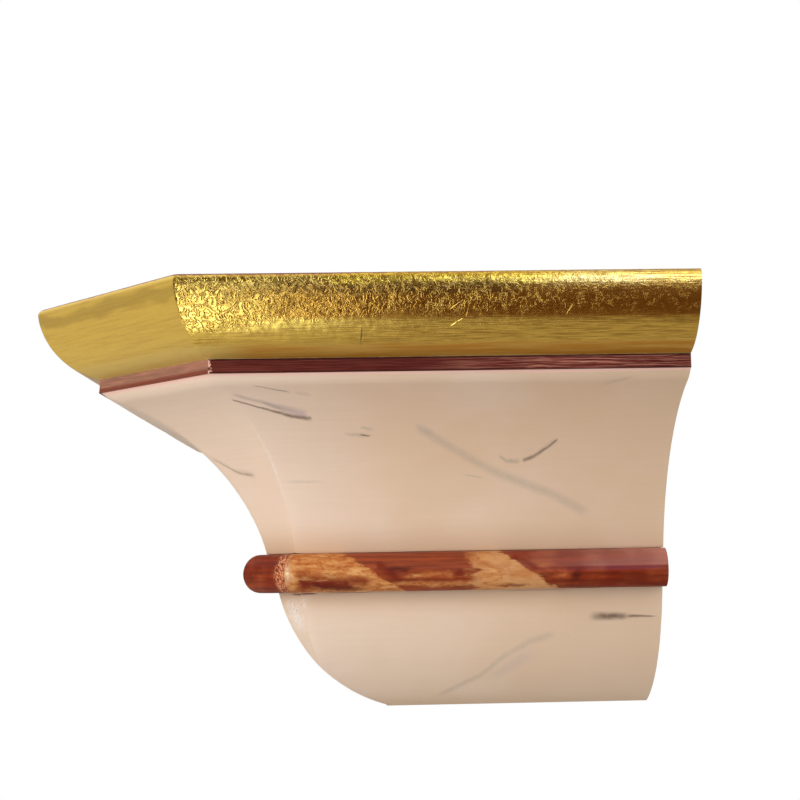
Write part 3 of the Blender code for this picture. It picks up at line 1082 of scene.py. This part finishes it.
def makeBeadPolish():
    material, tree = newMaterial("beadPolish")
    onFace, place = facePlace(tree), objectPlace(tree)
    along, girth, run = partsOf(onFace)
    point = strokePoint(along, run, place, 0.0016, 0.005)
    spread, height = partsOf(point)[:2]
    side = facesOf(run)[0]
    lines = dragged(onFace, 0.0013, 0.02, 0.5, 6.0)
    fine = dragged(onFace, 0.0005, 0.008, 0.7, 8.0)
    cloud = noiseOf(place, 90.0, 3.0)
    browner = largest(ramp(cloud, 0.4, 0.72), band(along, *bead["brownerAlong"]) * 0.8)
    wood = mixColour(browner, bead["red"], bead["brown"])
    wood.lay(lines * 0.65, bead["dark"])
    # painted reflection of the light ceiling: mauve on the upper half, most towards the wall
    lit = ramp(partsOf(place)[2], *bead["ceilingSheenHeight"]) * side
    lit = lit * ramp(along, *bead["ceilingSheenAlong"], 0.1, 1.0) * ramp(cloud, 0.3, 0.7, 0.6, 1.0)
    wood.lay(lit * 0.72, bead["bloom"])
    # golden figured patches, slanted at their near ends
    figure = noiseOf(vectorOf(along * 110.0, girth * 420.0, run * 3.7), 1.0, 4.0, 0.62, 0.7)
    frayed = (figure - 0.5) * 0.006
    frayedFar = (figure - 0.5) * 0.024
    patches = drawStrokes(point, goldStreaks)
    for patchRun, far, near, slant, middle in goldenPatches:
        limit = spread - (height - middle / 1000) * slant + frayed
        inside = ramp(limit, patchRun + (near - 0.8) / 1000, patchRun + (near + 0.8) / 1000)
        ends = ramp(spread + frayedFar, patchRun + (far - 3) / 1000, patchRun + (far + 3) / 1000,
                    1.0, 0.0)
        patches = largest(patches, inside * ends)
    golden = mixColour(ramp(figure, 0.4, 0.7), bead["gold"], bead["paleGold"])
    golden.lay(ramp(figure, 0.46, 0.3, 0.0, 0.8), bead["amber"])
    # paler and softer in the middle of the patch nearer the wall
    milky = ramp(along, *bead["milkyAlong"]) * ramp(cloud, 0.35, 0.6, 0.25, 0.75) * side
    golden.lay(milky, bead["milky"])
    soft = noiseOf(calcVector("MULTIPLY", place, (1.0, 0.5, 1.0)), 240.0, 1.5)
    golden.lay(ramp(soft, 0.46, 0.64) * milky * 0.9, bead["gold"])
    grainy = 1.0 - milky
    speckle = noiseOf(calcVector("MULTIPLY", place, (1.0, 0.45, 1.0)), 900.0, 3.0, 0.6)
    golden.lay(ramp(speckle, 0.52, 0.66, 0.0, 0.75) * grainy, bead["amber"])
    golden.lay(ramp(speckle, 0.44, 0.34, 0.0, 0.55) * grainy, bead["paleGold"])
    wood.lay(patches, golden)
    mottled = drawStrokes(point, redMottles) * ramp(figure, 0.38, 0.62, 0.15, 1.0)
    wood.lay(mottled, mixColour(ramp(figure, 0.5, 0.7), bead["redGold"], bead["gold"]))
    red = drawStrokes(point, redStreaks) * ramp(figure, 0.5, 0.72, 1.0, 0.45)
    wood.lay(red, bead["deepRed"])
    dark = drawStrokes(point, darkStreaks)
    wood.lay(dark * ramp(fine, 0.1, 0.6, 0.95, 0.6), bead["dark"])
    # filler scratched over the mitre between the side and the cut corner
    scratch = noiseOf(place, 1100.0, distort=1.5)
    ragged = spread + (scratch - 0.5) * 0.006
    start, end, fray = 1 + bead["fillerStart"], 1 + bead["fillerEnd"], bead["fillerFray"]
    inJoint = band(ragged, start - fray, start, end + fray / 2, end - fray / 2)
    onSide = ramp(ragged, bead["fillerOnSide"], bead["fillerOnSide"] + fray) * side
    filler = largest(inJoint, onSide)
    wood.lay(filler * ramp(scratch, 0.47, 0.55), bead["filler"])
    wood.lay(drawStrokes(point, fillerSpots), bead["paleSpot"])
    relief = fine * 0.4 + figure * 0.6 + filler * scratch * 4.0
    return setShader(material, {
        "Base Color": wood,
        "Roughness": ramp(fine, 0.2, 0.9, 0.3, 0.42),
        "Specular IOR Level": 0.06,
        "Coat Weight": 0.07,
        "Coat Roughness": 0.09,
        "Normal": bumpOf(relief, 0.00006),
    })


goldLeaf = makeGoldLeaf()
topMahogany = makeTopPaint()
bareWood = makeBareWood()
filletPaint = makeFilletPaint()
creamMarble = makeCreamMarble("creamMarble", (0, 1))
farMarble = makeCreamMarble("farMarble", (2, 3, 4))
beadPolish = makeBeadPolish()
print("finishes mixed")


# The gilded board

board = {
    "arrisRadius": 0.0022,
    "arrisSteps": 6,
    "roundRadius": 0.025,
    "roundSteps": 48,
    "foot": 0.0235,
    "footSetBack": 0.0194,
}


def boardProfile():
    arris = arc((board["arrisRadius"], 0), (0, board["arrisRadius"]), board["arrisRadius"],
                board["arrisSteps"])
    edge = arc(arris[-1], (board["footSetBack"], board["foot"]), board["roundRadius"],
               board["roundSteps"])
    return arris + edge[1:]


gildedBoard = carryAlong(
    "gildedShelfBoard", boardProfile(), goldLeaf, cell=0.00062, reliefDepth=0.00005,
    reliefSize=0.0028, reliefTwist=1.2, waveDepth=0.0001, waveSize=0.03, easedDepth=0.00012,
    easedWidth=0.0008, seed=3.0)
finishPiece(gildedBoard, [topMahogany, bareWood, bareWood], closeBlock, "gilded_shelf_board")

# The fillet under it

filletEdge = divided([(fillet["setBack"], fillet["top"]), (fillet["setBack"], fillet["foot"])],
                     0.0008)
mahoganyFillet = carryAlong(
    "mahoganyFillet", filletEdge, filletPaint, cell=0.0012, reliefDepth=0.0001, reliefSize=0.004,
    waveDepth=0.00005, waveSize=0.02, easedDepth=0.00015, easedWidth=0.0012, seed=7.0)
finishPiece(mahoganyFillet, [filletPaint, filletPaint, bareWood], closeBlock, "mahogany_fillet")

# The cream body

creamBody = carryAlong(
    "creamBody", bodyProfile(), creamMarble, cell=body["cell"], reliefDepth=0.00004,
    reliefSize=0.009, waveDepth=0.00018, waveSize=0.05, easedDepth=0.00025, easedWidth=0.0024,
    seed=11.0)
finishPiece(creamBody, [creamMarble, creamMarble, bareWood], closeBlock, "cream_body",
            farMarble)

# The five lengths of bead

beadTrim = glueGap / 2 / cos(radians(22.5))
beadPlaces = ["right_side", "right_corner", "front", "left_corner", "left_side"]
for run, where in enumerate(beadPlaces):
    strip = carryAlong(
        "bead" + where.title().replace("_", ""), beadSection(), beadPolish, cell=0.0011,
        firstRun=run, lastRun=run,
        startTrim=0.0 if run == 0 else beadTrim, endTrim=0.0 if run == lastRun else beadTrim,
        reliefDepth=0.00005, reliefSize=0.005, waveDepth=0.00012, waveSize=0.018,
        calmRim=0.0002, seed=20.0 + run)
    finishPiece(strip, [beadPolish], closeStrip, "bead_" + where)


# Floor, light and camera

studio = {
    "floorHeight": -0.6,
    "floorSize": 2.0,
    "floorColour": (0.86, 0.85, 0.83, 1.0),
    "ceiling": (1.1, 1.12, 1.16),
    "sideDark": (0.18, 0.1, 0.055),
    "sideDeep": (0.075, 0.05, 0.035),
    "sideBright": (2.3, 2.65, 2.9),
    "sideGlare": (4.00, 5.4, 12.0),
    "sideDim": (0.25, 0.215, 0.155),
    "frontWall": (0.74, 0.7, 0.62),
    "farWall": (0.6, 0.57, 0.52),
    "underneath": (0.44, 0.39, 0.33),
    "window": (3.4, 3.9, 4.2),
    "shown": (1.0, 1.0, 1.0),
    "softShare": 0.5,
    # directions in degrees: lean towards the front, rise over the horizon, turn from +X
    "glareLean": (-6.0, -8.6, -12.9, -10.6),
    "glareRise": (18.0, 10.0),
    "brightLean": (2.0, -12.0),
    "brightRise": (-10.5, -7.5),
    "deepLean": (-6.0, -2.0, 6.0, 3.0),
    "deepRise": (-22.0, -12.0),
    "nearFrontLean": (-6.0, -13.0),
    "underRise": (-57.0, -70.0),
    "windowLean": (5.0, 8.0, 24.0, 17.0),
    "windowRise": (-5.0, -14.0),
    "windowSlopeLean": (5.0, 9.0),
    "windowFootRise": (-18.0, 0.0),
    "farRise": (-12.0, 2.0),
    "farTurn": (130.0, 160.0),
    "behindTurn": (-60.0, -100.0),
    "frontTurn": (40.0, 62.0),
    "sideCeilingRise": (45.0, 62.0),
    "frontCeilingRise": (16.0, 38.0),
}
lamps = {
    "lowKey": {"place": (0.44, -0.43, 0.06), "target": (0.12, -0.13, -0.02), "size": 0.24,
               "power": 1.62, "tint": (1.0, 0.965, 0.925)},
    "overhead": {"place": (0.6, 0.1, 1.1), "target": (0.1, -0.1, 0.0), "size": 0.5,
                 "power": 3.0, "tint": (1.0, 0.98, 0.94)},
}
view = {
    "place": (0.5604, -0.0954, -0.0291),
    "forward": (-0.9919, 0.0298, 0.1238),
    "upwards": (0.1242, 0.0139, 0.9922),
    "sensor": 36.0,
    "lens": 60.0,
    "shiftX": -0.0375,
    "clip": (0.01, 20.0),
}


def makeFloor():
    half = studio["floorSize"] / 2
    mesh = bpy.data.meshes.new("paleFloor")
    mesh.from_pydata([(-half, -half, 0), (half, -half, 0), (half, half, 0), (-half, half, 0)], [],
                     [(0, 1, 2, 3)])
    mesh.transform(Matrix.Translation((0, -0.1, studio["floorHeight"])))
    floor = bpy.data.objects.new("paleFloor", mesh)
    scene.collection.objects.link(floor)
    mesh.materials.append(setShader(newMaterial("paleFloor")[0], {
        "Base Color": studio["floorColour"], "Roughness": 0.9}))
    floor.visible_glossy = False


def makeWorld():
    world = bpy.data.worlds.new("softStudio")
    scene.world = world
    world.use_nodes = True
    tree = world.node_tree
    tree.nodes.clear()
    east, north, up = partsOf(addField(tree, "ShaderNodeTexCoord", output="Generated"))
    turn = calc("DEGREES", calc("ARCTAN2", north * -1.0, east))
    rise = calc("DEGREES", calc("ARCSINE", up))
    # a reflection in the side's mouldings doesn't change the lean
    lean = calc("DEGREES", calc("ARCSINE", north * -1.0))
    # what the side that the photo shows looks at: light, a dark band under it, and a low window
    # the brightest spot is small, or it would light the whole bracket
    spot = band(lean, *studio["glareLean"]) * ramp(rise, *studio["glareRise"])
    glare = mixColour(spot, studio["sideBright"], studio["sideGlare"])
    light = mixColour(ramp(lean, *studio["brightLean"]), studio["sideDim"], glare)
    deep = ramp(rise, *studio["deepRise"]) * band(lean, *studio["deepLean"])
    side = mixColour(deep, studio["sideDark"], studio["sideDeep"])
    wider = rise + ramp(lean, *studio["nearFrontLean"], 0.0, 3.0)
    side.lay(ramp(wider, *studio["brightRise"]), light)
    side.lay(ramp(rise, *studio["underRise"]), studio["underneath"])
    overFoot = rise + ramp(lean, *studio["windowSlopeLean"], 42.0, 68.0)
    inWindow = (band(lean, *studio["windowLean"]) * ramp(rise, *studio["windowRise"])
                * ramp(overFoot, *studio["windowFootRise"]))
    side.lay(inWindow, studio["window"])
    # the front and the far side look at plainer walls
    far = mixColour(ramp(rise, *studio["farRise"]), studio["underneath"], studio["farWall"])
    front = mixColour(ramp(turn, *studio["farTurn"]), studio["frontWall"], far)
    toFront = ramp(turn, *studio["frontTurn"])
    walls = mixColour(toFront, side, front)
    walls.lay(ramp(turn, *studio["behindTurn"]), far)
    overhead = mixValue(toFront, ramp(rise, *studio["sideCeilingRise"]),
                        ramp(rise, *studio["frontCeilingRise"]))
    sky = mixColour(overhead, walls, studio["ceiling"])
    path = tree.nodes.new("ShaderNodeLightPath").outputs
    shown = mixColour(Field(path["Is Camera Ray"]), sky, studio["shown"])
    strength = mixValue(Field(path["Is Diffuse Ray"]), 1.0, studio["softShare"])
    background = addField(tree, "ShaderNodeBackground", {"Color": shown, "Strength": strength})
    addNode(tree, "ShaderNodeOutputWorld", {"Surface": background})


def makeLamp(name, settings):
    light = bpy.data.lights.new(name, "AREA")
    light.shape = "RECTANGLE"
    light.size = light.size_y = settings["size"]
    light.energy = settings["power"]
    light.color = settings["tint"]
    lamp = bpy.data.objects.new(name, light)
    lamp.location = settings["place"]
    towards = Vector(settings["target"]) - Vector(settings["place"])
    lamp.rotation_euler = towards.to_track_quat("-Z", "Y").to_euler()
    lamp.visible_camera = False
    lamp.visible_glossy = False
    scene.collection.objects.link(lamp)


def makeCamera():
    camera = bpy.data.cameras.new("photoView")
    camera.sensor_width = view["sensor"]
    camera.lens = view["lens"]
    camera.shift_x = view["shiftX"]
    camera.clip_start, camera.clip_end = view["clip"]
    seen = bpy.data.objects.new("photoView", camera)
    forward = Vector(view["forward"]).normalized()
    right = forward.cross(Vector(view["upwards"])).normalized()
    upright = right.cross(forward)
    turned = Matrix((right, upright, -forward)).transposed().to_4x4()
    seen.matrix_world = Matrix.Translation(view["place"]) @ turned
    scene.collection.objects.link(seen)
    scene.camera = seen


makeFloor()
makeWorld()
for name, settings in lamps.items():
    makeLamp(name, settings)
makeCamera()
scene.view_settings.view_transform = "Standard"
print("studio lit")
